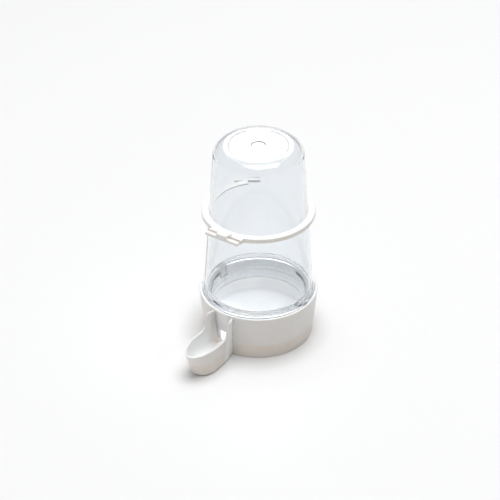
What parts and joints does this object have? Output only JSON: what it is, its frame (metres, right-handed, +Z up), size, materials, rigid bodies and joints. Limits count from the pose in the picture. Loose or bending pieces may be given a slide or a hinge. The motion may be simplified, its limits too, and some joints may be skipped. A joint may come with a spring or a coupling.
{
  "type": "poultry waterer fount",
  "caption": "Siphon drinker: clear inverted conical reservoir in a white base with a boat-shaped drinking spout, held by a C-shaped hanger ring with a T-hook.",
  "frame": {"origin": "centre of the foot that the drinker stands on, on the reservoir's axis", "axes": "+Z up along the reservoir's axis, -Y out through the drinking spout, +X to the right seen from the spout"},
  "size_m": [0.0799, 0.1166, 0.1441],
  "materials": {
    "white_plastic": "moulded white polystyrene, semi-gloss",
    "clear_plastic": "clear crystal polystyrene, polished",
    "ring_plastic": "moulded white polypropylene, semi-gloss"
  },
  "bodies": {
    "base": {"drinking_base": "white_plastic"},
    "reservoir": {"reservoir": "clear_plastic"},
    "ring": {"hanger_ring": "ring_plastic"}
  },
  "joints": [
    {"name": "reservoir_lift", "type": "slide", "parent": "base", "child": "reservoir", "axis": [0, 0, 1], "range_m": [0, 0.06]},
    {"name": "ring_lift", "type": "slide", "parent": "reservoir", "child": "ring", "axis": [0, 0, 1], "range_m": [0, 0.06]}
  ]
}
